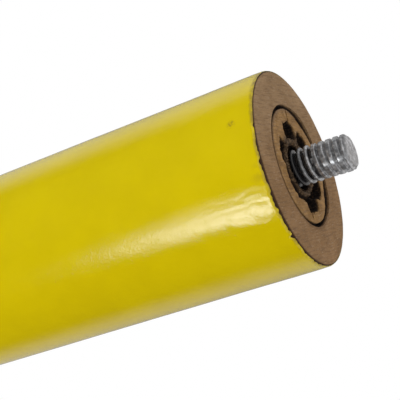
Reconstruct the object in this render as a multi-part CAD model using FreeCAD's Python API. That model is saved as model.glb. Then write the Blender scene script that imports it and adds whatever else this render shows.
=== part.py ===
import FreeCAD, Part

import math
import os

# Delineator post: a turned hardwood pole in a thick yellow coat, with a screw-in stud at its foot.
# Millimetres. +Z runs up the post, and z = 0 is the sawn foot face that seats on a base.
# The stud points down, along -Z. +X points across the middle of one of the pits in the foot face.

INCH = 25.4

# Pole
core_diameter = 33.3
core_length = 28 * INCH
foot_chamfer = 0.3

# Coat on the pole
coat_thickness = 0.2
coat_edge_radius = 0.1

# Ring that the lathe's cup centre pressed into the foot face
ring_radius = 10.05
ring_width = 0.75
ring_depth = 1.4
disc_recess = 0.2

# Pits torn by the teeth of the lathe's drive
tooth_count = 6
tooth_length = 2.5
tooth_arc = 42.0
tooth_depth = 2.6
tooth_draft = 0.45
collar_wall = 0.85

# Drying check across the disc, in line through the middle
check_angle = 11.0
check_width = 0.4
check_depth = 1.8

# Hanger bolt: machine thread outside, plain neck, lag thread inside the pole
stud_diameter = 0.25 * INCH
stud_pitch = INCH / 20
stud_thread_height = 0.61343 * stud_pitch
stud_projection = 8.9
stud_tip_chamfer = 0.45
stud_inner_thread = 1.0
stud_blunt_start = 0.25
neck_diameter = 5.6
neck_length = 7.2
lag_diameter = 6.2
lag_root_diameter = 4.3
lag_pitch = INCH / 10
lag_crest = 0.3
lag_length = 34.0
lag_point_length = 6.0
lag_point_diameter = 0.8
lag_blunt_start = 0.3

# Holes for the bolt
entry_clearance = 0.85
entry_depth = 3.0
neck_clearance = 0.05
point_clearance = 1.0

# Retroreflective sheets
band_height = 3 * INCH
band_thickness = 0.25
band_top_drop = 2 * INCH
band_gap = 4 * INCH
band_lap_arc = 36.0

# Push-on cap
cap_wall = 1.4
cap_top = 2.2
cap_skirt = 25.4
cap_edge_radius = 1.6
cap_lip_chamfer = 0.4

OVERSHOOT = 1.0
GROOVE_OVERSHOOT = 0.1
STRIP_COUNT = 8
STRIP_ARC = 360 / STRIP_COUNT
STRIP_LAP = 6
Z_AXIS = FreeCAD.Vector(0, 0, 1)
ORIGIN = FreeCAD.Vector(0, 0, 0)

core_radius = core_diameter / 2
coat_radius = core_radius + coat_thickness
stud_radius = stud_diameter / 2
entry_radius = stud_radius + entry_clearance
tooth_inner_radius = entry_radius + collar_wall
tooth_outer_radius = tooth_inner_radius + tooth_length
ring_inner_radius = ring_radius - ring_width / 2
ring_outer_radius = ring_radius + ring_width / 2


def vector(radius, degrees, z):
    """A point given by its distance from the axis, its angle from +X and its height."""
    angle = math.radians(degrees)
    return FreeCAD.Vector(radius * math.cos(angle), radius * math.sin(angle), z)


def turned(points):
    """The solid that a closed outline of (radius, z) points sweeps round the axis."""
    corners = [FreeCAD.Vector(radius, 0, z) for radius, z in points]
    outline = Part.makePolygon(corners + corners[:1])
    return Part.Face(outline).revolve(ORIGIN, Z_AXIS, 360)


def ring(inner, outer, low, high):
    """A plain tube between two radii and two heights."""
    return turned([(inner, low), (outer, low), (outer, high), (inner, high)])


def rod(radius, low, high):
    """A plain cylinder between two heights."""
    return Part.makeCylinder(radius, high - low, FreeCAD.Vector(0, 0, low))


def groove_stretch(crest_radius, root_radius, crest_half, root_half, pitch):
    """The right-hand groove of a thread over one strip, wider at the crest than at the root."""
    slope = (crest_half - root_half) / (crest_radius - root_radius)
    outer_radius = crest_radius + GROOVE_OVERSHOOT
    outer_half = crest_half + slope * GROOVE_OVERSHOOT
    corners = [
        FreeCAD.Vector(root_radius, 0, -root_half),
        FreeCAD.Vector(outer_radius, 0, -outer_half),
        FreeCAD.Vector(outer_radius, 0, outer_half),
        FreeCAD.Vector(root_radius, 0, root_half),
    ]
    profile = Part.makePolygon(corners + corners[:1])
    helix = Part.makeHelix(pitch, pitch * (STRIP_ARC + 2 * STRIP_LAP) / 360, root_radius)
    groove = Part.Wire(helix).makePipeShell([profile], True, True)
    groove.rotate(ORIGIN, Z_AXIS, -STRIP_LAP)
    groove.translate(FreeCAD.Vector(0, 0, -pitch * STRIP_LAP / 360))
    return groove


def threaded_rod(crest_radius, root_radius, crest_half, root_half, pitch, low, high, blunt):
    """A rod with a thread, built of pie-shaped strips that each hold an eighth of every turn.

    The crest stops at a step, and is lower by blunt, outside its whole turns.
    """
    spare = 2 * pitch
    start = low - spare
    length = high - low + 2 * spare
    crest_flat = pitch - 2 * crest_half
    whole_turns = int((high - low - crest_flat / 2) / pitch - 0.5)
    step_height = low + pitch / STRIP_COUNT / 2
    strip = Part.makeCylinder(
        crest_radius - blunt, length, FreeCAD.Vector(0, 0, start), Z_AXIS, STRIP_ARC
    )
    crest = Part.makeCylinder(
        crest_radius, whole_turns * pitch, FreeCAD.Vector(0, 0, step_height), Z_AXIS, STRIP_ARC
    )
    strip = strip.fuse(crest)
    groove = groove_stretch(crest_radius, root_radius, crest_half, root_half, pitch)
    groove.translate(FreeCAD.Vector(0, 0, start - pitch))
    for _turn in range(int(length / pitch) + 3):
        strip = strip.cut(groove)
        groove.translate(FreeCAD.Vector(0, 0, pitch))
    strips = []
    for number in range(STRIP_COUNT):
        copy = strip.copy()
        copy.rotate(ORIGIN, Z_AXIS, number * STRIP_ARC)
        copy.translate(FreeCAD.Vector(0, 0, number * pitch / STRIP_COUNT))
        strips.append(copy)
    return strips[0].multiFuse(strips[1:])


def machine_thread():
    """The stud's 60-degree thread, with its chamfered tip."""
    low, high = -stud_projection, stud_inner_thread
    thread = threaded_rod(
        stud_radius,
        stud_radius - stud_thread_height,
        stud_pitch * 7 / 16,
        stud_pitch / 8,
        stud_pitch,
        low,
        high,
        stud_blunt_start,
    )
    tip_radius = stud_radius - stud_tip_chamfer
    envelope = turned(
        [
            (0, low),
            (tip_radius, low),
            (stud_radius + OVERSHOOT, low + stud_tip_chamfer + OVERSHOOT),
            (stud_radius + OVERSHOOT, high),
            (0, high),
        ]
    )
    return thread.common(envelope)


def lag_thread():
    """The coarse wood thread, running out over a gimlet point."""
    low = stud_inner_thread + neck_length
    shoulder = low + lag_length - lag_point_length
    high = low + lag_length
    lag_radius = lag_diameter / 2
    root_radius = lag_root_diameter / 2
    crest_half = (lag_pitch - lag_crest) / 2
    root_half = crest_half - (lag_radius - root_radius) * math.tan(math.radians(30))
    thread = threaded_rod(
        lag_radius, root_radius, crest_half, root_half, lag_pitch, low, high, lag_blunt_start
    )
    envelope = turned(
        [
            (0, low),
            (lag_radius + OVERSHOOT, low),
            (lag_radius + OVERSHOOT, shoulder),
            (lag_radius, shoulder),
            (lag_point_diameter / 2, high),
            (0, high),
        ]
    )
    return thread.common(envelope)


def hanger_bolt():
    """The whole bolt as one solid."""
    neck = rod(neck_diameter / 2, stud_inner_thread, stud_inner_thread + neck_length)
    return machine_thread().fuse(neck).fuse(lag_thread())


def tooth_pit(number):
    """One pit of the lathe's drive, a ring sector that narrows as it goes in."""
    middle = number * 360 / tooth_count

    def outline(shrink, z):
        inner = tooth_inner_radius + shrink
        outer = tooth_outer_radius - shrink
        half = tooth_arc / 2 - math.degrees(shrink / inner)
        arc_out = Part.Arc(
            vector(outer, middle - half, z), vector(outer, middle, z), vector(outer, middle + half, z)
        )
        arc_in = Part.Arc(
            vector(inner, middle + half, z), vector(inner, middle, z), vector(inner, middle - half, z)
        )
        side_one = Part.LineSegment(vector(outer, middle + half, z), vector(inner, middle + half, z))
        side_two = Part.LineSegment(vector(inner, middle - half, z), vector(outer, middle - half, z))
        edges = [arc_out, side_one, arc_in, side_two]
        return Part.Wire([edge.toShape() for edge in edges])

    mouth = outline(0, -OVERSHOOT)
    floor = outline(tooth_draft, tooth_depth)
    return Part.makeLoft([mouth, floor], True, True)


def drying_check(degrees):
    """A wedge-shaped crack from a pit out to the ring, sharp at its outer end and its bottom."""
    start = tooth_inner_radius + tooth_length / 2
    end = ring_radius
    half = check_width / 2

    def outline(width, z):
        corners = [
            FreeCAD.Vector(start, -width, z),
            FreeCAD.Vector(end, -width / 4, z),
            FreeCAD.Vector(end, width / 4, z),
            FreeCAD.Vector(start, width, z),
        ]
        return Part.makePolygon(corners + corners[:1])

    wedge = Part.makeLoft(
        [outline(half, -OVERSHOOT), outline(half / 4, check_depth)], True, True
    )
    wedge.rotate(ORIGIN, Z_AXIS, degrees)
    return wedge


def wood_core(bolt):
    """The pole with its foot-face marks, its holes, and the lag thread's own track in the wood."""
    pole = turned(
        [
            (0, 0),
            (core_radius - foot_chamfer, 0),
            (core_radius, foot_chamfer),
            (core_radius, core_length),
            (0, core_length),
        ]
    )
    cuts = [
        ring(ring_inner_radius, ring_outer_radius, -OVERSHOOT, ring_depth),
        rod(ring_radius, -OVERSHOOT, disc_recess),
        rod(entry_radius, -OVERSHOOT, entry_depth),
        rod(
            neck_diameter / 2 + neck_clearance,
            entry_depth - OVERSHOOT,
            stud_inner_thread + neck_length,
        ),
    ]
    cuts += [tooth_pit(number) for number in range(tooth_count)]
    cuts += [drying_check(check_angle), drying_check(check_angle + 180)]
    for cut in cuts:
        pole = pole.cut(cut)
    pilot_depth = stud_inner_thread + neck_length + lag_length + point_clearance
    pilot = rod(
        lag_point_diameter / 2,
        pilot_depth - point_clearance - OVERSHOOT,
        pilot_depth,
    )
    return pole.cut(pilot).cut(bolt)


def yellow_coat():
    """The coat: a long skin on the pole, with a rounded bead at the foot."""
    coat = ring(core_radius, coat_radius, foot_chamfer, core_length)
    foot_edges = [
        edge
        for edge in coat.Edges
        if abs(edge.BoundBox.ZMax - foot_chamfer) < 1e-6
        and edge.BoundBox.XMax > core_radius + coat_thickness / 2
    ]
    return coat.makeFillet(min(coat_edge_radius, coat_thickness / 2), foot_edges)


def reflective_band(top):
    """A sheet wrapped once round the coat, with its end lapped over its start on the far side."""
    low = top - band_height
    first_layer = ring(coat_radius, coat_radius + band_thickness, low, top)
    lap = ring(coat_radius + band_thickness, coat_radius + 2 * band_thickness, low, top)
    keep = Part.makeCylinder(
        coat_radius + OVERSHOOT + 2 * band_thickness,
        band_height,
        FreeCAD.Vector(0, 0, low),
        Z_AXIS,
        band_lap_arc,
    )
    keep.rotate(ORIGIN, Z_AXIS, 90 - band_lap_arc / 2)
    return first_layer.fuse(lap.common(keep)).removeSplitter()


def top_cap():
    """A push-on cup that closes the pole's end grain and grips the coat."""
    outer_radius = coat_radius + cap_wall
    low = core_length - cap_skirt
    high = core_length + cap_top
    cup = turned(
        [
            (0, core_length),
            (coat_radius, core_length),
            (coat_radius, low + cap_lip_chamfer),
            (coat_radius + cap_lip_chamfer, low),
            (outer_radius, low),
            (outer_radius, high),
            (0, high),
        ]
    )
    rim = [
        edge
        for edge in cup.Edges
        if abs(edge.BoundBox.ZMin - high) < 1e-6 and edge.BoundBox.XMax > coat_radius
    ]
    return cup.makeFillet(min(cap_edge_radius, cap_top * 0.8, cap_wall * 1.2), rim)


def export(name, shape):
    """Writes one node's solids and prints what they measure."""
    solids = shape.Solids
    whole = solids[0] if len(solids) == 1 else Part.makeCompound(solids)
    whole.exportStep(f"parts/{name}.step")
    box = whole.optimalBoundingBox()
    valid = all(solid.isValid() for solid in solids)
    print(
        f"{name:20} {len(solids)} solid(s) valid={valid} volume={whole.Volume:.1f} mm3 "
        f"x {box.XMin:.2f}..{box.XMax:.2f} z {box.ZMin:.2f}..{box.ZMax:.2f}"
    )


def main():
    """Builds every node and writes it to parts/."""
    os.makedirs("parts", exist_ok=True)
    bolt = hanger_bolt()
    upper_top = core_length - band_top_drop
    lower_top = upper_top - band_height - band_gap
    export("hanger_bolt", bolt)
    export("wood_core", wood_core(bolt))
    export("yellow_coat", yellow_coat())
    export("upper_reflective_band", reflective_band(upper_top))
    export("lower_reflective_band", reflective_band(lower_top))
    export("top_cap", top_cap())


main()
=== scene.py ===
# %% [markdown]
# # A wooden marker post, foot end up close
#
# The post is a turned pole with a thick yellow coat. A threaded stud sticks out of its bare foot,
# and screws into a base. Its design is already finished, and this notebook dresses it: it builds
# detailed pieces over the plain ones, gives each a finish, and sets up a small studio.
#
# The first lines load the finished design. Everything after them takes its places and sizes
# from it, so nothing has to be fitted by eye.

# %% Load the design
import math

import bpy
from mathutils import Matrix, Vector, noise


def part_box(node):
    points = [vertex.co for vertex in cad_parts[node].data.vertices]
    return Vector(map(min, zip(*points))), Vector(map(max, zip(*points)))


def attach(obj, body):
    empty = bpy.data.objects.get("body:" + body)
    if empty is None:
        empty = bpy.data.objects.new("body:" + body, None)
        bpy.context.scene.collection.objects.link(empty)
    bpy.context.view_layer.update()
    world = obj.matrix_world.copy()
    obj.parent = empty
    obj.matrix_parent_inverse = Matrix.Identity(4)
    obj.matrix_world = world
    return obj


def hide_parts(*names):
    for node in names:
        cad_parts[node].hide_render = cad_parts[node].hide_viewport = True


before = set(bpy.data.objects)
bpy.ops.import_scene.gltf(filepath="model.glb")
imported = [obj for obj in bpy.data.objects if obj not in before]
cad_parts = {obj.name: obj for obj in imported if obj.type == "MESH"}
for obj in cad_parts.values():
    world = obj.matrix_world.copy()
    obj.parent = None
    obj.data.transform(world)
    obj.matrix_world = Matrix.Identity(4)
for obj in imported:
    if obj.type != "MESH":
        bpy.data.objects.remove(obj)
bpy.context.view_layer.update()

MM = 0.001  # metres in a millimetre, since the design and Blender both count in metres

wood_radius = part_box("wood_core")[1].x / MM
coat_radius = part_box("yellow_coat")[1].x / MM
post_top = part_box("wood_core")[1].z / MM
stud_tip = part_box("hanger_bolt")[0].z / MM
bolt_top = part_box("hanger_bolt")[1].z / MM
stud_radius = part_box("hanger_bolt")[1].x / MM
print(f"wood {wood_radius:.2f}, coat {coat_radius:.2f}, stud {stud_radius:.3f} mm in radius")
print(f"post {post_top:.1f} mm tall, stud tip at {stud_tip:.2f} mm")

# %% [markdown]
# ## The camera
#
# The camera looks up at the foot face from about 17 centimetres away, with a long lens, and is
# rolled so that the post runs off to the left of the frame. It could be aimed with a Track To
# constraint, but a roll is easier to state as a matrix: stand at a place, tilt, then roll. The
# place is given in post radii, so that a thicker post would be seen in the same way.

# %% Camera
camera_place = Vector((0.021, -9.471, -3.092)) * coat_radius * MM
camera_tilt = 24.04
camera_roll = -109.17
camera_lens = 91.8
nearest_seen = 10

camera_data = bpy.data.cameras.new("camera")
camera_data.lens = camera_lens
camera_data.clip_start = nearest_seen * MM
camera = bpy.data.objects.new("camera", camera_data)
bpy.context.scene.collection.objects.link(camera)
tilted = Matrix.Rotation(math.radians(90 + camera_tilt), 4, "X")
rolled = Matrix.Rotation(math.radians(camera_roll), 4, "Z")
camera.matrix_world = Matrix.Translation(camera_place) @ tilted @ rolled
bpy.context.scene.camera = camera
print("camera at", [round(value / MM, 1) for value in camera_place], "mm")

# %% [markdown]
# ## Small helpers for modelling
#
# Most of this post was turned on a lathe, so its pieces are made in the same way: draw half of the
# outline, point by point, and spin it round the post's axis. A cylinder with loop cuts would do
# as well, but an outline says the whole shape in one short list. The first helper selects, because
# Blender's tools work on what is selected, and the next two draw and spin.


# %% Select only some objects
def pick(*things):
    """Selects these objects and no others, and makes the first one active."""
    bpy.ops.object.select_all(action="DESELECT")
    for thing in things:
        thing.select_set(True)
    bpy.context.view_layer.objects.active = things[0]


# %% Draw an outline, one extrusion after another
def draw_outline(name, corners):
    """A line through (radius, height, steps) corners in mm. Steps cut the way to that corner."""
    bpy.ops.object.select_all(action="DESELECT")
    bpy.ops.mesh.primitive_plane_add(size=MM, location=(0, 0, 0))
    piece = bpy.context.object
    piece.name = piece.data.name = name
    bpy.ops.object.mode_set(mode="EDIT")
    bpy.ops.mesh.select_all(action="SELECT")
    bpy.ops.mesh.merge(type="CENTER")
    here = Vector((corners[0][0], 0, corners[0][1])) * MM
    bpy.ops.transform.translate(value=here)
    for radius, height, steps in corners[1:]:
        there = Vector((radius, 0, height)) * MM
        for _step in range(steps):
            move = (there - here) / steps
            bpy.ops.mesh.extrude_region_move(TRANSFORM_OT_translate={"value": move})
        here = there
    bpy.ops.object.mode_set(mode="OBJECT")
    return piece


# %% Spin an outline into a closed round piece
WELD = 0.001 * MM  # points closer together than this become one


def spin_round(piece, strips):
    """Spins the outline once round the axis, joins its ends and turns its faces outwards."""
    pick(piece)
    bpy.ops.object.mode_set(mode="EDIT")
    bpy.ops.mesh.select_all(action="SELECT")
    bpy.ops.mesh.spin(steps=strips, angle=math.tau, center=(0, 0, 0), axis=(0, 0, 1))
    bpy.ops.mesh.select_all(action="SELECT")
    bpy.ops.mesh.remove_doubles(threshold=WELD)
    bpy.ops.mesh.normals_make_consistent(inside=False)
    bpy.ops.object.mode_set(mode="OBJECT")


# %% [markdown]
# A turned piece is too perfect for torn wood or a worn thread. The next helper moves every point
# by a rule, as a sculptor's brush would. A Displace modifier could do it too, but a rule can be
# different inside a pit, on an edge or near the tip. Two small functions help to write the rules:
# a soft slope between two values, and a smooth unevenness that is the same in each run.


# %% Move a piece's points by a rule
def reshape(piece, rule):
    """Moves each point to where the rule says. The rule reads and gives millimetres."""
    for vertex in piece.data.vertices:
        vertex.co = rule(vertex.co / MM) * MM
    piece.data.update()


# %% Helpers for the rules
def ease(value, start, end):
    """0 at start, 1 at end, and a smooth slope between."""
    share = min(max((value - start) / (end - start), 0), 1)
    return share * share * (3 - 2 * share)


def rough(x, y, z, size, seed=0):
    """Smooth unevenness from -1 to 1, with bumps about this many mm across."""
    return noise.noise(Vector((x / size + seed * 17.3, y / size - seed * 5.1, z / size + seed)))


# %% [markdown]
# Each finished piece gets its shading and its finish, and then takes the place of a plain piece of
# the design.


# %% Finish a piece
SMOOTH_UP_TO = math.radians(50)  # edges bent more than this stay sharp


def finish_piece(piece, material, slot, *nodes):
    """Smooths the shading, gives the finish, and puts the piece in the design's place."""
    pick(piece)
    bpy.ops.object.shade_smooth_by_angle(angle=SMOOTH_UP_TO)
    piece.data.materials.clear()
    piece.data.materials.append(material)
    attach(piece, "root")
    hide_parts(*nodes)
    print(f"{piece.name}: {len(piece.data.vertices)} points, {len(piece.data.polygons)} faces")


# %% [markdown]
# ## Small helpers for finishes
#
# Every finish is a Principled shader with procedural patterns on it. Painted image textures would
# need an unwrapped surface, while these patterns fill space and fit any shape. They read Object
# coordinates, turned into millimetres by a Mapping node, so a scale of 2 means two features in
# each millimetre.


# %% Start a finish, and add a node
def new_finish(name):
    """An empty material with a Principled shader, and the tree to build in."""
    material = bpy.data.materials.new(name)
    material.use_nodes = True
    tree = material.node_tree
    tree.nodes.clear()
    shader = tree.nodes.new("ShaderNodeBsdfPrincipled")
    output = tree.nodes.new("ShaderNodeOutputMaterial")
    tree.links.new(shader.outputs["BSDF"], output.inputs["Surface"])
    return material, tree, shader


def put(tree, kind, inputs=None, **settings):
    """Adds a node. An input that is a socket is linked, and any other value is typed in."""
    made = tree.nodes.new(kind)
    for key, value in settings.items():
        setattr(made, key, value)
    for key, value in (inputs or {}).items():
        if isinstance(value, bpy.types.NodeSocket):
            tree.links.new(value, made.inputs[key])
        else:
            made.inputs[key].default_value = value
    return made


# %% Sums, soft steps and mixes
def calc(tree, operation, first, second=0.0):
    """A Math node's result."""
    return put(tree, "ShaderNodeMath", {0: first, 1: second}, operation=operation).outputs[0]


def fade(tree, value, start, end):
    """0 where the value is at start, 1 at end, and a smooth slope between."""
    inputs = {"Value": value, "From Min": start, "From Max": end}
    made = put(tree, "ShaderNodeMapRange", inputs, interpolation_type="SMOOTHSTEP")
    return made.outputs["Result"]


def blend(tree, share, first, second, how="MIX"):
    """A mix of two colours. A Mix node keeps its colours in inputs 6 and 7 and output 2."""
    inputs = {0: share, 6: first, 7: second}
    made = put(tree, "ShaderNodeMix", inputs, data_type="RGBA", blend_type=how)
    return made.outputs[2]


# %% Places in millimetres, and noise
def in_millimetres(tree, turn=0.0, stretch=(1, 1, 1)):
    """Object coordinates in mm, turned about the axis and then stretched."""
    place = put(tree, "ShaderNodeTexCoord").outputs["Object"]
    to_mm = (1 / MM, 1 / MM, 1 / MM)
    inputs = {"Vector": place, "Rotation": (0, 0, math.radians(turn)), "Scale": to_mm}
    turned = put(tree, "ShaderNodeMapping", inputs)
    inputs = {"Vector": turned.outputs["Vector"], "Scale": stretch}
    return put(tree, "ShaderNodeMapping", inputs).outputs["Vector"]


def distance_from_axis(tree, parts):
    """How far a place is from the post's axis. The parts are its separate X, Y and Z."""
    inputs = {"X": parts.outputs["X"], "Y": parts.outputs["Y"], "Z": 0.0}
    flat = put(tree, "ShaderNodeCombineXYZ", inputs).outputs[0]
    length = put(tree, "ShaderNodeVectorMath", {0: flat}, operation="LENGTH")
    return length.outputs["Value"]


def speckle(tree, place, scale, detail=3.0, roughness=0.55, twist=0.0):
    """A noise pattern's grey value."""
    inputs = {
        "Vector": place,
        "Scale": scale,
        "Detail": detail,
        "Roughness": roughness,
        "Distortion": twist,
    }
    return put(tree, "ShaderNodeTexNoise", inputs).outputs["Fac"]


# %% [markdown]
# ## Shared effects
#
# Three effects turn up in more than one finish: cloudy unevenness in a colour, dirt that gathers in
# patches, and a fine relief for the bump. Copying their nodes into each finish would work, but a
# node group is built once, has its own sliders, and changes everywhere when it is mended.


# %% Make an empty group
def new_group(name, numbers, result):
    """A group with a Vector input, number inputs with their usual values, and one result."""
    tree = bpy.data.node_groups.new(name, "ShaderNodeTree")
    tree.interface.new_socket("Vector", in_out="INPUT", socket_type="NodeSocketVector")
    for key, usual in numbers.items():
        socket = tree.interface.new_socket(key, in_out="INPUT", socket_type="NodeSocketFloat")
        socket.default_value = usual
    tree.interface.new_socket(result, in_out="OUTPUT", socket_type="NodeSocketFloat")
    return tree, tree.nodes.new("NodeGroupInput"), tree.nodes.new("NodeGroupOutput")


# %% Clouds, dirt and relief
cloud_detail = 5.0
clouds, given, result = new_group("Clouds", {"Scale": 1.0, "Low": 0.35, "High": 0.65}, "Share")
cloud_noise = speckle(clouds, given.outputs["Vector"], given.outputs["Scale"], cloud_detail)
clouded = fade(clouds, cloud_noise, given.outputs["Low"], given.outputs["High"])
clouds.links.new(clouded, result.inputs["Share"])

patch_softness = 0.12
dirt, given, result = new_group("Dirt", {"Scale": 1.0, "Amount": 0.5}, "Share")
coarse = speckle(dirt, given.outputs["Vector"], given.outputs["Scale"], 6.0, 0.7, 0.6)
needed = calc(dirt, "SUBTRACT", 1.0, given.outputs["Amount"])
lowest = calc(dirt, "SUBTRACT", needed, patch_softness)
highest = calc(dirt, "ADD", needed, patch_softness)
dirt.links.new(fade(dirt, coarse, lowest, highest), result.inputs["Share"])

relief_detail = 2.0
times_finer = 4.0
relief, given, result = new_group("Relief", {"Scale": 1.0, "Fine": 0.3}, "Height")
wide = speckle(relief, given.outputs["Vector"], given.outputs["Scale"], relief_detail)
fine_scale = calc(relief, "MULTIPLY", given.outputs["Scale"], times_finer)
fine = speckle(relief, given.outputs["Vector"], fine_scale, relief_detail)
fine_part = calc(relief, "MULTIPLY", fine, given.outputs["Fine"])
relief.links.new(calc(relief, "ADD", wide, fine_part), result.inputs["Height"])
print("shared effects:", [group.name for group in (clouds, dirt, relief)])


# %% Use a shared effect
def effect(tree, group, place, **values):
    """Puts a shared effect in a finish and gives its result."""
    inputs = {"Vector": place}
    inputs.update({key.capitalize(): value for key, value in values.items()})
    return put(tree, "ShaderNodeGroup", inputs, node_tree=group).outputs[0]


def add_relief(tree, shader, height, depth_mm):
    """Feeds a height through a Bump node. The depth is the height of one whole unit."""
    bumped = put(tree, "ShaderNodeBump", {"Height": height, "Distance": depth_mm * MM})
    tree.links.new(bumped.outputs["Normal"], shader.inputs["Normal"])


# %% [markdown]
# ## Finish: bare end grain
#
# The foot was sawn across the grain and never sealed, so it shows pores and saw marks and drinks up
# dirt. It could be one brown noise, but real end grain is made of layers: the disc inside the
# pressed ring is warmer than the wood outside it. The wood outside the ring is also painted darker
# and warmer towards minus X, the side that is lowest in the camera's view, which is painted shade.
# So the colour starts with those large differences, and smaller ones are laid over it.

# %% End grain: the large differences in colour
ring_radius = 10.2
disc_radius = 9.8
wood_finish, tree, shader = new_finish("bare_end_grain")
place = in_millimetres(tree)
parts = put(tree, "ShaderNodeSeparateXYZ", {"Vector": place})
from_axis = distance_from_axis(tree, parts)
depth = parts.outputs["Z"]

brown, tan = (0.310, 0.196, 0.096, 1), (0.388, 0.252, 0.132, 1)
outer_wood = blend(tree, effect(tree, clouds, place, scale=0.16), brown, tan)
warm_brown, warm_tan = (0.270, 0.150, 0.050, 1), (0.410, 0.240, 0.092, 1)
inner_wood = blend(tree, effect(tree, clouds, place, scale=0.35), warm_brown, warm_tan)
# painted shade: the wood outside the ring is made darker and warmer towards minus X, the lower side
# in the camera's view
painted_shade_low_side, painted_shade_tint = fade(tree, parts.outputs["X"], 15, -8), (0.860, 0.780, 0.680, 1)
outer_wood = blend(tree, painted_shade_low_side, outer_wood, painted_shade_tint, "MULTIPLY")
in_disc = fade(tree, from_axis, disc_radius + 0.2, disc_radius - 0.2)
colour = blend(tree, in_disc, outer_wood, inner_wood)


# %% [markdown]
# Most layers are one colour laid over the rest in some share. The next helper does only that, so
# that each layer below is a single line: how much, where, and what colour.


# %% Lay a colour over the rest
def lay_over(tree, colour, amount, share, over):
    """Lays a colour over another one where the share is high, by at most this amount."""
    return blend(tree, calc(tree, "MULTIPLY", share, amount), colour, (*over, 1))


# %% End grain: grain, saw marks, pores and resin
grain_place = in_millimetres(tree, -6, (2.8, 0.3, 1))
grain = fade(tree, speckle(tree, grain_place, 1.0, 4.0, 0.6), 0.42, 0.70)
colour = lay_over(tree, colour, 0.60, grain, (0.165, 0.098, 0.050))
pale_place = in_millimetres(tree, -3, (4.0, 0.5, 1))
pale_grain = fade(tree, speckle(tree, pale_place, 1.0, 3.0, 0.6), 0.55, 0.75)
colour = lay_over(tree, colour, 0.60, pale_grain, (0.470, 0.350, 0.230))
pores = fade(tree, speckle(tree, place, 3.2, 2.0, 0.5), 0.64, 0.76)
colour = lay_over(tree, colour, 0.6, pores, (0.100, 0.052, 0.022))
resin = fade(tree, speckle(tree, place, 0.9, 2.0, 0.5), 0.68, 0.78)
colour = lay_over(tree, colour, 0.5, resin, (0.330, 0.130, 0.030))

# %% [markdown]
# The pressed ring and the torn pits are painted nearly black, as painted shade that stands for the
# shade deep inside them. The dark could be painted on with a mask, but here it follows the depth
# under the face, so it always lands in the holes that are modelled. The torn collar round the bolt
# stays brown, so its depth is counted from a little lower.

# %% End grain: torn collar and burnt ring
near_bolt = fade(tree, from_axis, 7.0, 5.6)
patches = fade(tree, speckle(tree, place, 1.1, 4.0, 0.65), 0.20, 0.42)
fibres = fade(tree, speckle(tree, place, 2.6, 4.0, 0.7), 0.35, 0.70)
torn_wood = blend(tree, fibres, (0.030, 0.018, 0.010, 1), (0.230, 0.152, 0.086, 1))
colour = blend(tree, calc(tree, "MULTIPLY", near_bolt, patches), colour, torn_wood)
near_ring = calc(tree, "ABSOLUTE", calc(tree, "SUBTRACT", from_axis, ring_radius))
colour = lay_over(tree, colour, 0.35, fade(tree, near_ring, 0.75, 0.35), (0.090, 0.045, 0.020))

# %% End grain: painted shade by depth, and the dark rim
collar_lowered = calc(tree, "MULTIPLY", fade(tree, from_axis, 5.5, 4.9), 0.42)
blotches = calc(tree, "MULTIPLY", speckle(tree, place, 1.6, 3.0, 0.6), 0.30)
# painted shade: the deeper a point lies under the face, the darker it is painted
painted_shade_depth = calc(tree, "ADD", calc(tree, "SUBTRACT", depth, collar_lowered), blotches)
colour = lay_over(tree, colour, 0.8, fade(tree, painted_shade_depth, 0.34, 0.50), (0.055, 0.030, 0.015))
in_pit = fade(tree, speckle(tree, place, 2.4, 3.0, 0.6), 0.48, 0.70)
# painted shade: the deepest points, in the pits and the pressed ring, go near-black
painted_pit_shade = blend(tree, in_pit, (0.009, 0.006, 0.005, 1), (0.060, 0.034, 0.018, 1))
colour = blend(tree, fade(tree, painted_shade_depth, 0.42, 0.75), colour, painted_pit_shade)
rim = fade(tree, from_axis, wood_radius - 0.22, wood_radius - 0.04)
colour = lay_over(tree, colour, 0.9, rim, (0.030, 0.014, 0.006))
tree.links.new(colour, shader.inputs["Base Color"])

# %% End grain: matt, with a fine relief
shader.inputs["Roughness"].default_value = 0.85
shader.inputs["Specular IOR Level"].default_value = 0.2
grain_relief = effect(tree, relief, in_millimetres(tree, -6, (2, 0.5, 1)), scale=1.8)
add_relief(tree, shader, grain_relief, 0.14)
print(f"{wood_finish.name}: {len(tree.nodes)} nodes")

# %% [markdown]
# ## Finish: the yellow coat
#
# The pole has a thick coat of gloss enamel. Its colour is almost even and its gloss is high, so
# what makes it look real is small: slight clouds, an orange peel that breaks up reflections, and a
# patchy brown darkening along the foot edge. One plain yellow would look like plastic. The mark and
# the smear are placed by their angle round the post and their height over the foot, and fade out
# with the distance from that spot.


# %% Distance from a spot on the coat
def from_spot(tree, place, degrees, height):
    """How far a place is from a spot on the coat, in mm."""
    turn = math.radians(degrees)
    spot = (coat_radius * math.cos(turn), coat_radius * math.sin(turn), height)
    measured = put(tree, "ShaderNodeVectorMath", {0: place, 1: spot}, operation="DISTANCE")
    return measured.outputs["Value"]


# %% Yellow enamel: colour and dirt
enamel, tree, shader = new_finish("yellow_enamel")
place = in_millimetres(tree)
height = put(tree, "ShaderNodeSeparateXYZ", {"Vector": place}).outputs["Z"]
deep_yellow, light_yellow = (0.640, 0.506, 0.000, 1), (0.672, 0.534, 0.000, 1)
colour = blend(tree, effect(tree, clouds, place, scale=0.12), deep_yellow, light_yellow)

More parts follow.
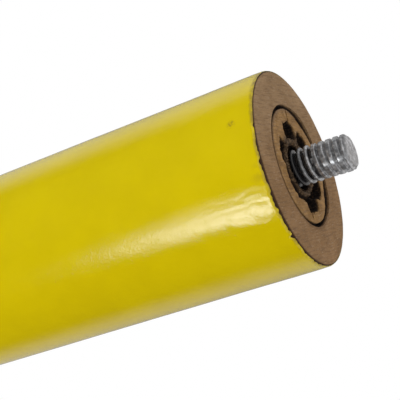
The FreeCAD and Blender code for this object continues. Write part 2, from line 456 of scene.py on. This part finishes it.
# a patchy brown darkening along the coat's foot edge, in the last millimetre
foot_edge_patches = fade(tree, speckle(tree, place, 0.9, 3.0), 0.30, 0.62)
foot_edge_darkening = calc(tree, "MULTIPLY", fade(tree, height, 1.0, 0.25), foot_edge_patches)
colour = lay_over(tree, colour, 0.7, foot_edge_darkening, (0.200, 0.120, 0.020))
near_smear = fade(tree, from_spot(tree, place, -86, 0.7), 2.6, 0.3)
smear_patches = fade(tree, speckle(tree, place, 0.7, 2.0), 0.35, 0.65)
smear = calc(tree, "MULTIPLY", near_smear, smear_patches)
colour = lay_over(tree, colour, 0.30, smear, (0.260, 0.150, 0.020))
near_mark = fade(tree, from_spot(tree, place, -55, 3.9), 0.95, 0.2)
mark = calc(tree, "MULTIPLY", near_mark, effect(tree, dirt, place, scale=1.4, amount=0.5))
colour = blend(tree, mark, colour, (0.22, 0.14, 0.02, 1))
tree.links.new(colour, shader.inputs["Base Color"])

# %% Yellow enamel: gloss and orange peel
uneven = {"Value": speckle(tree, place, 0.5), "To Min": 0.05, "To Max": 0.12}
gloss = put(tree, "ShaderNodeMapRange", uneven).outputs["Result"]
tree.links.new(gloss, shader.inputs["Roughness"])
add_relief(tree, shader, effect(tree, relief, place, scale=2.2, fine=0.20), 0.022)
print(f"{enamel.name}: {len(tree.nodes)} nodes")

# %% [markdown]
# ## Finish: worn zinc
#
# The stud's plating is dull grey with a faint spangle, bright where it has been rubbed on the
# crests. Its thread valleys and the stretch next to the wood are painted near-black: partly old
# grease, partly painted shade that stands for the shade deep in the thread and in the hole. Where
# this dark lies the finish is less metallic too, as grease isn't metal. The valleys are found by
# their distance from the axis, which fits the thread exactly, as a painted mask would not.

# %% Zinc: spangle and end face
zinc, tree, shader = new_finish("worn_zinc")
place = in_millimetres(tree)
parts = put(tree, "ShaderNodeSeparateXYZ", {"Vector": place})
from_axis = distance_from_axis(tree, parts)
along_stud = parts.outputs["Z"]
spangle = fade(tree, speckle(tree, place, 1.5, 1.0, 0.5), 0.35, 0.65)
dark_zinc, light_zinc = (0.255, 0.265, 0.275, 1), (0.52, 0.535, 0.55, 1)
colour = blend(tree, spangle, dark_zinc, light_zinc)
off_tip = fade(tree, along_stud, stud_tip + 0.05, stud_tip + 0.35)
end_spots = fade(tree, speckle(tree, place, 2.2, 1.0, 0.5), 0.38, 0.62)
end_dull = calc(tree, "MULTIPLY", calc(tree, "SUBTRACT", 1.0, off_tip), end_spots)
colour = blend(tree, end_dull, colour, (0.24, 0.24, 0.24, 1))

# %% Zinc: painted shade with grease in the valleys, and painted shade at the hole
# painted shade mixed with grease: the thread valleys are darkened, more so next to the wood
in_valley = fade(tree, from_axis, stud_radius - 0.26, stud_radius - 0.42)
near_wood = fade(tree, along_stud, -4.4, -2.4)
thick = calc(tree, "ADD", 0.70, calc(tree, "MULTIPLY", near_wood, 0.30))
valley_shade_and_grease = calc(tree, "MULTIPLY", calc(tree, "MULTIPLY", in_valley, thick), off_tip)
smears = fade(tree, speckle(tree, place, 0.9, 1.0, 0.5), 0.20, 0.42)
valley_shade_and_grease = calc(tree, "MULTIPLY", valley_shade_and_grease, smears)
# painted shade: the stud is painted black where it enters the hole next to the wood face
painted_hole_shade = fade(tree, along_stud, -1.5, -0.5)
shade_and_grease = calc(tree, "MAXIMUM", valley_shade_and_grease, painted_hole_shade)
colour = blend(tree, shade_and_grease, colour, (0.018, 0.018, 0.019, 1))
tree.links.new(colour, shader.inputs["Base Color"])

# %% Zinc: shine and relief
most_metallic = 0.60
bare = calc(tree, "SUBTRACT", 1.0, calc(tree, "MAXIMUM", shade_and_grease, in_valley))
shine = calc(tree, "MULTIPLY", bare, most_metallic)
tree.links.new(shine, shader.inputs["Metallic"])
uneven = {"Value": speckle(tree, place, 1.5, 1.0), "To Min": 0.18, "To Max": 0.32}
dull = put(tree, "ShaderNodeMapRange", uneven).outputs["Result"]
tree.links.new(dull, shader.inputs["Roughness"])
add_relief(tree, shader, speckle(tree, place, 1.3, 0.5, 0.5), 0.030)
print(f"{zinc.name}: {len(tree.nodes)} nodes")

# %% [markdown]
# ## The pole
#
# The pole was turned between a lathe's centres, and the driven centre pressed a ring into its foot.
# Cutting a ring and a hole out of a cylinder would leave ragged long faces, so they are part of
# the outline instead. It runs from the bottom of the bolt's hole, over the disc, down and up
# through the pressed ring, out to the rim, and up the long side to the closed top. Its steps are
# fine on the face, which is torn later, and coarse on the side, which the coat hides.

# %% Pole outline
hole_radius = 3.9
hole_depth = 6.0
disc_recess = 0.12
ring_depth = 1.5
ring_mouth = 0.36  # half the ring's width at the face
ring_floor = 0.25  # half its width at the bottom
rim_round = 0.22
fine_side = 3.0

pole = draw_outline(
    "pole",
    [
        (0, hole_depth, 0),
        (hole_radius, hole_depth, 2),
        (hole_radius, disc_recess, 18),
        (ring_radius - ring_mouth, disc_recess, 40),
        (ring_radius - ring_floor, ring_depth, 7),
        (ring_radius + ring_floor, ring_depth, 3),
        (ring_radius + ring_mouth, 0, 7),
        (wood_radius - rim_round, 0, 30),
        (wood_radius, rim_round, 3),
        (wood_radius, fine_side, 5),
        (wood_radius, post_top, 12),
        (0, post_top, 3),
    ],
)
spin_round(pole, 320)
print(f"pole outline spun: {len(pole.data.vertices)} points")

# %% [markdown]
# The lathe drive's teeth tore ragged pits round the stud, and a drying check opened through two of
# them. Boolean cuts would give clean tool marks, while torn wood has no straight edge. So each pit
# is a rounded box, given by its middle and its sides, and a rule pushes the face in where one is.
# Noise shifts the sides, which makes them ragged.

# %% Where the pits and checks are
# each pit: angle on the face, inner and outer distance from the axis, half width, depth
PITS = [
    (4, 5.2, 7.8, 2.3, 2.6),
    (49, 5.3, 7.6, 1.8, 2.4),
    (132, 5.2, 7.7, 1.9, 2.3),
    (156, 4.9, 6.6, 1.3, 1.6),
    (180, 4.8, 7.6, 2.8, 2.3),
    (215, 4.6, 6.0, 1.3, 1.2),
    (246, 4.5, 6.9, 2.4, 2.1),
    (275, 4.8, 6.5, 1.9, 1.6),
    (303, 4.8, 7.3, 2.2, 2.1),
]
PIT_CORNER = 0.6  # how round a pit's corners are
PIT_SLOPE = 0.40  # how wide its sloping side is

# each check: angle, start and end distance, half width at the start, depth
CHECKS = [(13, 6.6, 9.9, 0.36, 1.3), (194.5, 6.6, 9.0, 0.26, 1.2)]

# the stretches where the pressed ring was torn wider: angle, width, and how much wider
RING_TEARS = [(50, 34, 1.4), (128, 34, 1.4)]
ring_shift = 0.3
print(f"{len(PITS)} pits, {len(CHECKS)} checks, {len(RING_TEARS)} tears in the ring")


# %% How deep a pit is
def angle_between(first, second):
    """The signed angle from second to first, in degrees."""
    return (first - second + 180) % 360 - 180


def pit_depth(x, y):
    """How deep the pits are at a point of the face."""
    angle = math.degrees(math.atan2(y, x))
    distance = math.hypot(x, y)
    ragged = 0.48 * rough(x, y, 0, 1.7, 1) + 0.36 * rough(x, y, 0, 0.6, 2)
    deepest = 0
    for middle, inner, outer, half, depth_there in PITS:
        along = abs(math.radians(angle_between(angle, middle)) * distance) - half + PIT_CORNER
        out = abs(distance - (inner + outer) / 2) - (outer - inner) / 2 + PIT_CORNER
        outside = math.hypot(max(along, 0), max(out, 0)) + min(max(along, out), 0) - PIT_CORNER
        floor = depth_there * (1 + 0.35 * rough(x, y, 0, 1.1, 3))
        deepest = max(deepest, floor * ease(outside + ragged, PIT_SLOPE / 2, -PIT_SLOPE / 2))
    return deepest


# %% How deep a check is
def check_depth(x, y):
    """How deep the drying check is at a point of the face."""
    deepest = 0
    for direction, start, end, half, depth_there in CHECKS:
        turn = math.radians(direction)
        along = x * math.cos(turn) + y * math.sin(turn)
        aside = -x * math.sin(turn) + y * math.cos(turn) + 0.12 * rough(x, y, 0, 1.2, 4)
        if start < along < end:
            width = half * (end - along) / (end - start) + 0.04
            deepest = max(deepest, depth_there * ease(abs(aside), width + 0.08, width * 0.3))
    return deepest


# %% Where the ring is wider
def widen_ring(x, y):
    """Pulls the pressed ring's two sides apart where it is torn, and shifts it off centre."""
    distance = math.hypot(x, y)
    angle = math.degrees(math.atan2(y, x))
    offset = distance - ring_radius
    near = ease(abs(offset), 2.2, 0.5)
    torn_wider = 0.12 * rough(x, y, 0, 1.0, 9)
    for middle, width, amount in RING_TEARS:
        torn_wider += amount * ease(abs(angle_between(angle, middle)), width, 0)
    grown = 1 + offset * torn_wider * near / distance
    return x * grown + ring_shift * near, y * grown


# %% [markdown]
# The face's rule puts these together. Points of the hole, the long side and the top stay. Inside
# the ring a point goes as deep as the deepest of a pit, a check and the frayed collar round the
# hole, whose fibres lie in arcs as the turning bolt left them. Outside the ring, the face is only
# a little uneven.


# %% Tear the face
slack = 0.01  # two lengths that differ by less than this are the same


def tear_face(point):
    """Where each point of the foot goes once the pits, the check and the wear are made."""
    x, y, z = point
    distance = math.hypot(x, y)
    if z > hole_depth - slack or distance < hole_radius - slack:
        return point
    if distance > wood_radius - 0.1 and z > rim_round:
        return point
    push = 0
    if distance < ring_radius - ring_floor - slack and z < disc_recess + slack:
        arches = 0.5 + 0.5 * math.sin(distance * 9 + 2.5 * rough(x, y, 0, 1.6, 6))
        collar = ease(distance, hole_radius + 1.5, hole_radius + 0.7)
        frayed = collar * (0.12 + 0.22 * arches + 0.25 * rough(x, y, 0, 0.7, 5))
        mouth = 0.5 * ease(distance, hole_radius + 0.45, hole_radius)
        push = max(pit_depth(x, y), check_depth(x, y), frayed + mouth)
        push += 0.05 * rough(x, y, 0, 0.8, 7)
    elif distance >= ring_radius - ring_floor - slack:
        push = 0.03 * rough(x, y, 0, 2.5, 8)
    x, y = widen_ring(x, y)
    return Vector((x, y, min(z + push, hole_depth - 0.1)))


reshape(pole, tear_face)
finish_piece(pole, wood_finish, "bare_wood", "wood_core")

# %% [markdown]
# ## The coat
#
# The enamel ran and thickened a little near the foot as it dried, sagged into fine wrinkles on one
# side, and chipped along its edge. A Solidify modifier would make an even skin. Here the coat is a
# thin tube of its own outline, so its foot can be cut finely enough for waves and chips, and its
# edge can thin towards the wood.

# %% Coat outline
coat_inner = wood_radius + 0.005  # a hair off the wood, so the two surfaces don't flicker
edge_height = 0.12
fine_up_to = 60

coat = draw_outline(
    "coat",
    [
        (coat_inner, post_top, 0),
        (coat_inner, fine_side, 12),
        (coat_inner, edge_height + 0.10, 8),
        (coat_inner + 0.06, edge_height, 2),
        (coat_radius, 0.45, 4),
        (coat_radius, 14, 44),
        (coat_radius, fine_up_to, 54),
        (coat_radius, 120, 14),
        (coat_radius, post_top, 12),
        (coat_inner, post_top, 1),
    ],
)
spin_round(coat, 480)
print(f"coat outline spun: {len(coat.data.vertices)} points")

# %% [markdown]
# The coat's rule has two parts. One gives how far its outer side stands out: long waves, an orange
# peel, ripples near the foot, a wrinkled patch, a few thin sag lines and a swelling. The other
# lifts the foot edge in uneven teeth, mostly on the side that was knocked.

# %% How far the coat stands out
# each sag line: angle, depth, and a number that gives it a course of its own
SAGS = [(-99.5, 0.040, 31), (-96.5, 0.030, 32), (-94.0, 0.030, 33)]
PATCH_ANGLE = -101


def ripple_height(x, y, z, angle, distance):
    """The ripples, the wrinkled patch and the sag lines near the foot."""
    ripple = 0.022 * rough(x, y, z * 0.6, 4.5, 15) * ease(z, 20, 8)
    in_patch = ease(abs(angle_between(angle, PATCH_ANGLE)), 15, 8) * ease(z, 14, 9)
    ripple += 0.036 * in_patch * rough(x, y, z * 0.7, 1.9, 16)
    for middle, depth_there, seed in SAGS:
        aside = math.radians(angle_between(angle, middle)) * distance
        aside += 0.5 * rough(0, 0, z, 2.2, seed)
        ripple -= depth_there * ease(abs(aside), 0.55, 0) * ease(z, 12, 8)
    return ripple


# %% Wave and chip the coat
CHIPPED_ANGLE = -112
PLAIN_TOP = 60  # the last millimetres, where the cap sits, stay plain


def wave_coat(point):
    """The coat's outer side waves near the foot, and its edge is chipped."""
    x, y, z = point
    distance = math.hypot(x, y)
    if z > post_top - PLAIN_TOP:
        return point
    angle = math.degrees(math.atan2(y, x))
    if distance > coat_inner + 0.1:
        wave = 0.030 * rough(x, y, z * 0.35, 9.0, 11) + 0.014 * rough(x, y, z * 0.5, 3.2, 12)
        wave += 0.014 * rough(x, y, z * 0.8, 1.2, 17) * ease(z, 70, 50)
        ripple = ripple_height(x, y, z, angle, distance)
        swell = 0.05 * ease(z, 14, 4) * ease(z, 0.2, 2.5)
        grow = 1 + (wave + ripple + swell) * ease(z, 0.1, 1.5) / distance
        x, y = x * grow, y * grow
    if z < 1.2:
        on_near_side = ease(abs(angle_between(angle, CHIPPED_ANGLE)), 75, 25)
        teeth = max(0, rough(x, y, 0, 1.0, 13)) * 0.8 + max(0, rough(x, y, 0, 2.6, 14)) * 0.4
        chip = 0.04 + on_near_side * (0.12 + teeth)
        z += chip * ease(z, 1.2, 0.5)
    return Vector((x, y, z))


reshape(coat, wave_coat)
finish_piece(coat, enamel, "yellow_coat", "yellow_coat")

# %% [markdown]
# ## The hanger bolt
#
# The stud is one end of a hanger bolt: a machine thread outside, a plain neck, and a coarse wood
# thread that nobody sees. Rings stacked on a rod would look like a thread from far off, but its
# crests would not climb. A thread is one tooth's outline carried up a helix, and the Screw
# modifier does that: it spins the outline and lifts it by one pitch in each turn. Both ends are
# then cut square and closed.

# %% Cut a mesh square
CUT_REACH = 0.0001 * MM  # points closer to the cut than this are taken to lie on it


def cut_square(height_mm, keep_above):
    """Cuts the mesh in edit mode at a height, removes one side and closes the cut."""
    bpy.ops.mesh.select_all(action="SELECT")
    bpy.ops.mesh.bisect(
        plane_co=(0, 0, height_mm * MM),
        plane_no=(0, 0, 1),
        clear_inner=keep_above,
        clear_outer=not keep_above,
        use_fill=True,
        threshold=CUT_REACH,
    )


# %% Screw a tooth up a helix
THREAD_STRIPS = 72
THREAD_WELD = 0.002 * MM
SPARE_TURNS = 4  # enough for a turn to be cut off at each end


def screw_thread(name, tooth, pitch, low, high):
    """A threaded rod between two heights, from one tooth's (radius, height, steps) outline."""
    lifted = [(radius, z + low - 2 * pitch, steps) for radius, z, steps in tooth]
    rod = draw_outline(name, lifted)
    pick(rod)
    screw = rod.modifiers.new("thread", "SCREW")
    screw.axis = "Z"
    screw.angle = math.tau
    screw.screw_offset = pitch * MM
    screw.iterations = int((high - low) / pitch) + SPARE_TURNS
    screw.steps = screw.render_steps = THREAD_STRIPS
    bpy.ops.object.modifier_apply(modifier=screw.name)
    bpy.ops.object.mode_set(mode="EDIT")
    bpy.ops.mesh.select_all(action="SELECT")
    bpy.ops.mesh.remove_doubles(threshold=THREAD_WELD)
    cut_square(low, True)
    cut_square(high, False)
    bpy.ops.mesh.select_all(action="SELECT")
    bpy.ops.mesh.normals_make_consistent(inside=False)
    bpy.ops.object.mode_set(mode="OBJECT")
    return rod


# %% Stud thread
stud_pitch = 1.27
stud_root = stud_radius - 0.60
stud_top = 2.6
stud_tooth = [
    (stud_root, 0, 0),
    (stud_root + 0.06, 0.10, 1),
    (stud_radius - 0.20, 0.27, 3),
    (stud_radius - 0.06, 0.38, 2),
    (stud_radius, 0.52, 2),
    (stud_radius, 0.75, 2),
    (stud_radius - 0.06, 0.89, 2),
    (stud_radius - 0.20, 1.00, 2),
    (stud_root + 0.06, 1.17, 3),
    (stud_root, stud_pitch, 1),
]
bolt = screw_thread("hanger_bolt_detailed", stud_tooth, stud_pitch, stud_tip, stud_top)
print(f"stud thread: {len(bolt.data.vertices)} points")

# %% [markdown]
# A new thread is sharp and even. This one has been screwed in and knocked about: its tip is
# bevelled and a little thinner, its middle crests are rubbed flat, and only the turns next to the
# wood still have their full depth. It also leans a little, because it was driven in by hand.


# %% Wear the stud
def wear_stud(point):
    """Bevels the tip, flattens the middle crests and dents the rest a little."""
    x, y, z = point
    distance = math.hypot(x, y)
    if distance < slack:
        return point
    sharpen = 0.72 + 1.08 * ease(z, -4.6, -2.4)
    there = max(stud_radius - (stud_radius - distance) * sharpen, min(distance, stud_root - 0.1))
    limit = stud_radius - 0.5 * ease(z, stud_tip + 0.55, stud_tip)
    limit -= 0.12 * ease(z, -5.5, -8.0)
    middle = ease(z, -7.2, -5.6) * ease(z, -2.6, -3.4)
    limit -= middle * (0.11 + 0.06 * rough(x, y, z, 1.6, 21))
    there = min(there, limit)
    there += 0.030 * rough(x, y, z, 1.0, 22) * ease(distance, stud_root - 0.3, stud_root)
    grow = there / distance
    lean = 0.03 * min(z, 0)
    return Vector((x * grow + lean, y * grow, max(z, stud_tip)))


reshape(bolt, wear_stud)

# %% [markdown]
# The neck and the wood thread are out of sight, but the piece has to be whole, so they are made in
# the plain way. They overlap a little and are joined into one object, as they are one piece of
# steel.

# %% Neck, hidden in the wood
neck_radius = 2.8
neck_top = 8.2
overlap = 0.2
neck = draw_outline(
    "neck",
    [
        (0, stud_top - overlap, 0),
        (neck_radius, stud_top - overlap, 1),
        (neck_radius, neck_top + overlap, 6),
        (0, neck_top + overlap, 1),
    ],
)
spin_round(neck, 48)

# %% Wood thread, hidden in the wood
lag_pitch = 2.54
lag_root = 2.15
lag_crest = 3.1
lag_tooth = [
    (lag_root, 0, 0),
    (lag_crest, 0.55, 3),
    (lag_crest, 0.85, 1),
    (lag_root, 1.4, 3),
    (lag_root, lag_pitch, 3),
]
lag = screw_thread("lag", lag_tooth, lag_pitch, neck_top, bolt_top)


def point_the_lag(point):
    """Draws the end of the lag thread in to a point."""
    x, y, z = point
    shrink = 1 - 0.85 * ease(z, bolt_top - 6, bolt_top + 1)
    return Vector((x * shrink, y * shrink, z))


reshape(lag, point_the_lag)

# %% Join the bolt's three stretches
pick(bolt, neck, lag)
bpy.ops.object.join()
finish_piece(bolt, zinc, "zinc_steel", "hanger_bolt")

# %% [markdown]
# ## The reflective bands
#
# The two bands near the top are white sheet that throws headlights back. Its small cells are
# sealed off from one another by a net of slightly greyer lines, and road grime dulls it. A Voronoi
# pattern's distance to its edges draws such a net. The bands are plain rings, so the design's own
# shapes are kept and only get this finish.


# %% Dress a piece of the design
def dress(name, material):
    """Gives a finish to a piece that keeps the design's own shape."""
    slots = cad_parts[name].data.materials
    slots.clear()
    slots.append(material)
    print(f"{name} is dressed in {material.name}")


# %% Reflective sheet material
sheet_finish, tree, shader = new_finish("reflective_sheet")
place = in_millimetres(tree)
cell_pattern = {"Vector": place, "Scale": 0.35}
cells = put(tree, "ShaderNodeTexVoronoi", cell_pattern, feature="DISTANCE_TO_EDGE")
border = fade(tree, cells.outputs["Distance"], 0.12, 0.03)
sheet_white, sheet_grey = (0.80, 0.81, 0.82, 1), (0.60, 0.62, 0.63, 1)
colour = blend(tree, border, sheet_white, sheet_grey)
grime = calc(tree, "MULTIPLY", effect(tree, dirt, place, scale=0.12, amount=0.45), 0.25)
colour = blend(tree, grime, colour, (0.42, 0.39, 0.33, 1))
tree.links.new(colour, shader.inputs["Base Color"])
tree.links.new(calc(tree, "ADD", 0.22, grime), shader.inputs["Roughness"])
dress("upper_reflective_band", sheet_finish)
dress("lower_reflective_band", sheet_finish)

# %% [markdown]
# ## The cap
#
# A black vinyl cap keeps rain out of the top's end grain. It is moulded, so its skin has a fine
# leathery grain, and dust settles on it in patches. All three shared effects are used here.

# %% Cap material
cap_finish, tree, shader = new_finish("cap_vinyl")
place = in_millimetres(tree)
black, dark_grey = (0.018, 0.018, 0.019, 1), (0.035, 0.035, 0.036, 1)
colour = blend(tree, effect(tree, clouds, place, scale=0.2), black, dark_grey)
dust = calc(tree, "MULTIPLY", effect(tree, dirt, place, scale=0.15, amount=0.5), 0.3)
colour = blend(tree, dust, colour, (0.120, 0.105, 0.085, 1))
tree.links.new(colour, shader.inputs["Base Color"])
tree.links.new(calc(tree, "ADD", 0.50, dust), shader.inputs["Roughness"])
add_relief(tree, shader, effect(tree, relief, place, scale=2.0), 0.03)
dress("top_cap", cap_finish)

# %% [markdown]
# ## The studio
#
# The post hangs in a white booth, over a pale matt floor that is far enough below to catch no sharp
# shadow. The floor is only scenery and isn't part of the post.

# %% Floor
floor_drop = 450 * MM
floor_size = 60  # metres, so that its edge is out of sight
bpy.ops.object.select_all(action="DESELECT")
bpy.ops.mesh.primitive_plane_add(size=floor_size, location=(0, 0, -floor_drop))
floor = bpy.context.object
floor.name = "floor"
floor_finish, tree, shader = new_finish("pale_floor")
shader.inputs["Base Color"].default_value = (0.85, 0.85, 0.85, 1)
shader.inputs["Roughness"].default_value = 0.9
floor.data.materials.append(floor_finish)
print(f"floor {floor_drop / MM:.0f} mm under the foot")

# %% [markdown]
# The booth's back wall is bright and its open front is dim. A gloss surface shows both: dark in
# the middle, where it mirrors the front, and pale along its edges, where it mirrors the wall.
# Matt surfaces get an even light. The camera is rolled so that the X axis points up in its view,
# so "above" is the X direction, and the light from there is stronger and whiter than the light
# from below. Walls could be built for this, but the background's own shader is simpler, because
# it can tell mirrored light from matt light.

# %% Background: the mirrored booth
dim_front = 0.03
world = bpy.data.worlds.new("studio")
world.use_nodes = True
bpy.context.scene.world = world
tree = world.node_tree
tree.nodes.clear()
outwards = put(tree, "ShaderNodeTexCoord").outputs["Generated"]
direction = put(tree, "ShaderNodeSeparateXYZ", {"Vector": outwards})
above = direction.outputs["X"]
behind = fade(tree, direction.outputs["Y"], 0.12, 0.50)
wall = calc(tree, "ADD", 0.58, calc(tree, "MULTIPLY", above, 0.08))
behind = calc(tree, "MULTIPLY", behind, wall)
far_back = calc(tree, "MULTIPLY", fade(tree, direction.outputs["Y"], 0.6, 1.0), 0.62)
behind = calc(tree, "MULTIPLY", behind, calc(tree, "SUBTRACT", 1.0, far_back))
mirrored = calc(tree, "ADD", dim_front, behind)

# %% Background: the even light, and white for the camera
even = calc(tree, "ADD", 0.86, calc(tree, "MULTIPLY", above, 0.64))
warm_from_below = (0.95, 0.79, 0.73, 1)
white = (1, 1, 1, 1)
tint = blend(tree, fade(tree, above, -0.8, 0.3), warm_from_below, white)
rays = put(tree, "ShaderNodeLightPath").outputs
by_ray = {0: rays["Is Diffuse Ray"], 2: mirrored, 3: even}
strength = put(tree, "ShaderNodeMix", by_ray).outputs[0]
by_ray = {0: rays["Is Camera Ray"], 2: strength, 3: 1.0}
strength = put(tree, "ShaderNodeMix", by_ray).outputs[0]
tint = blend(tree, rays["Is Diffuse Ray"], white, tint)
background = put(tree, "ShaderNodeBackground", {"Color": tint, "Strength": strength})
put(tree, "ShaderNodeOutputWorld", {"Surface": background.outputs[0]})
bpy.context.scene.view_settings.view_transform = "Standard"
print(f"{world.name}: {len(tree.nodes)} nodes")

# %% [markdown]
# One lamp lights the post, and its reflection is the long highlight on the coat. A single soft box
# would give a highlight with one flat brightness. Three overlapping ones stand in for it: a wide
# faint one, a middle one and a small hot one, as a real diffuser is hottest near its bulb. Their
# places and sizes are given as seen from the post, in lamp distances.

# %% Soft boxes
lamp_distance = 0.8
towards_lamp = Vector((-0.343, -0.823, 0.453))
along_lamp = Vector((0, 0.482, 0.876))
across_lamp = Vector((0.939, -0.301, 0.166))


def soft_box(name, shape, along, across, length, width, glow):
    """A lamp that faces the post. The glow is how bright its surface looks."""
    place = (towards_lamp + along_lamp * along + across_lamp * across) * lamp_distance
    data = bpy.data.lights.new(name, "AREA")
    data.shape = shape
    data.size = width * lamp_distance
    data.size_y = length * lamp_distance
    area = data.size * data.size_y * (math.pi / 4 if shape == "ELLIPSE" else 1)
    data.energy = glow * math.pi * area
    light = bpy.data.objects.new(name, data)
    bpy.context.scene.collection.objects.link(light)
    turned = Matrix((across_lamp, along_lamp, towards_lamp)).transposed()
    light.matrix_world = Matrix.Translation(place) @ turned.to_4x4()
    light.visible_camera = False
    print(f"{name}: {data.energy:.2f} W")


soft_box("wide_lamp", "ELLIPSE", along=-0.10, across=0.00, length=0.32, width=0.64, glow=1.7)
soft_box("middle_lamp", "ELLIPSE", along=-0.06, across=-0.03, length=0.20, width=0.36, glow=5.2)
soft_box("hot_lamp", "RECTANGLE", along=-0.12, across=-0.17, length=0.16, width=0.22, glow=5.5)
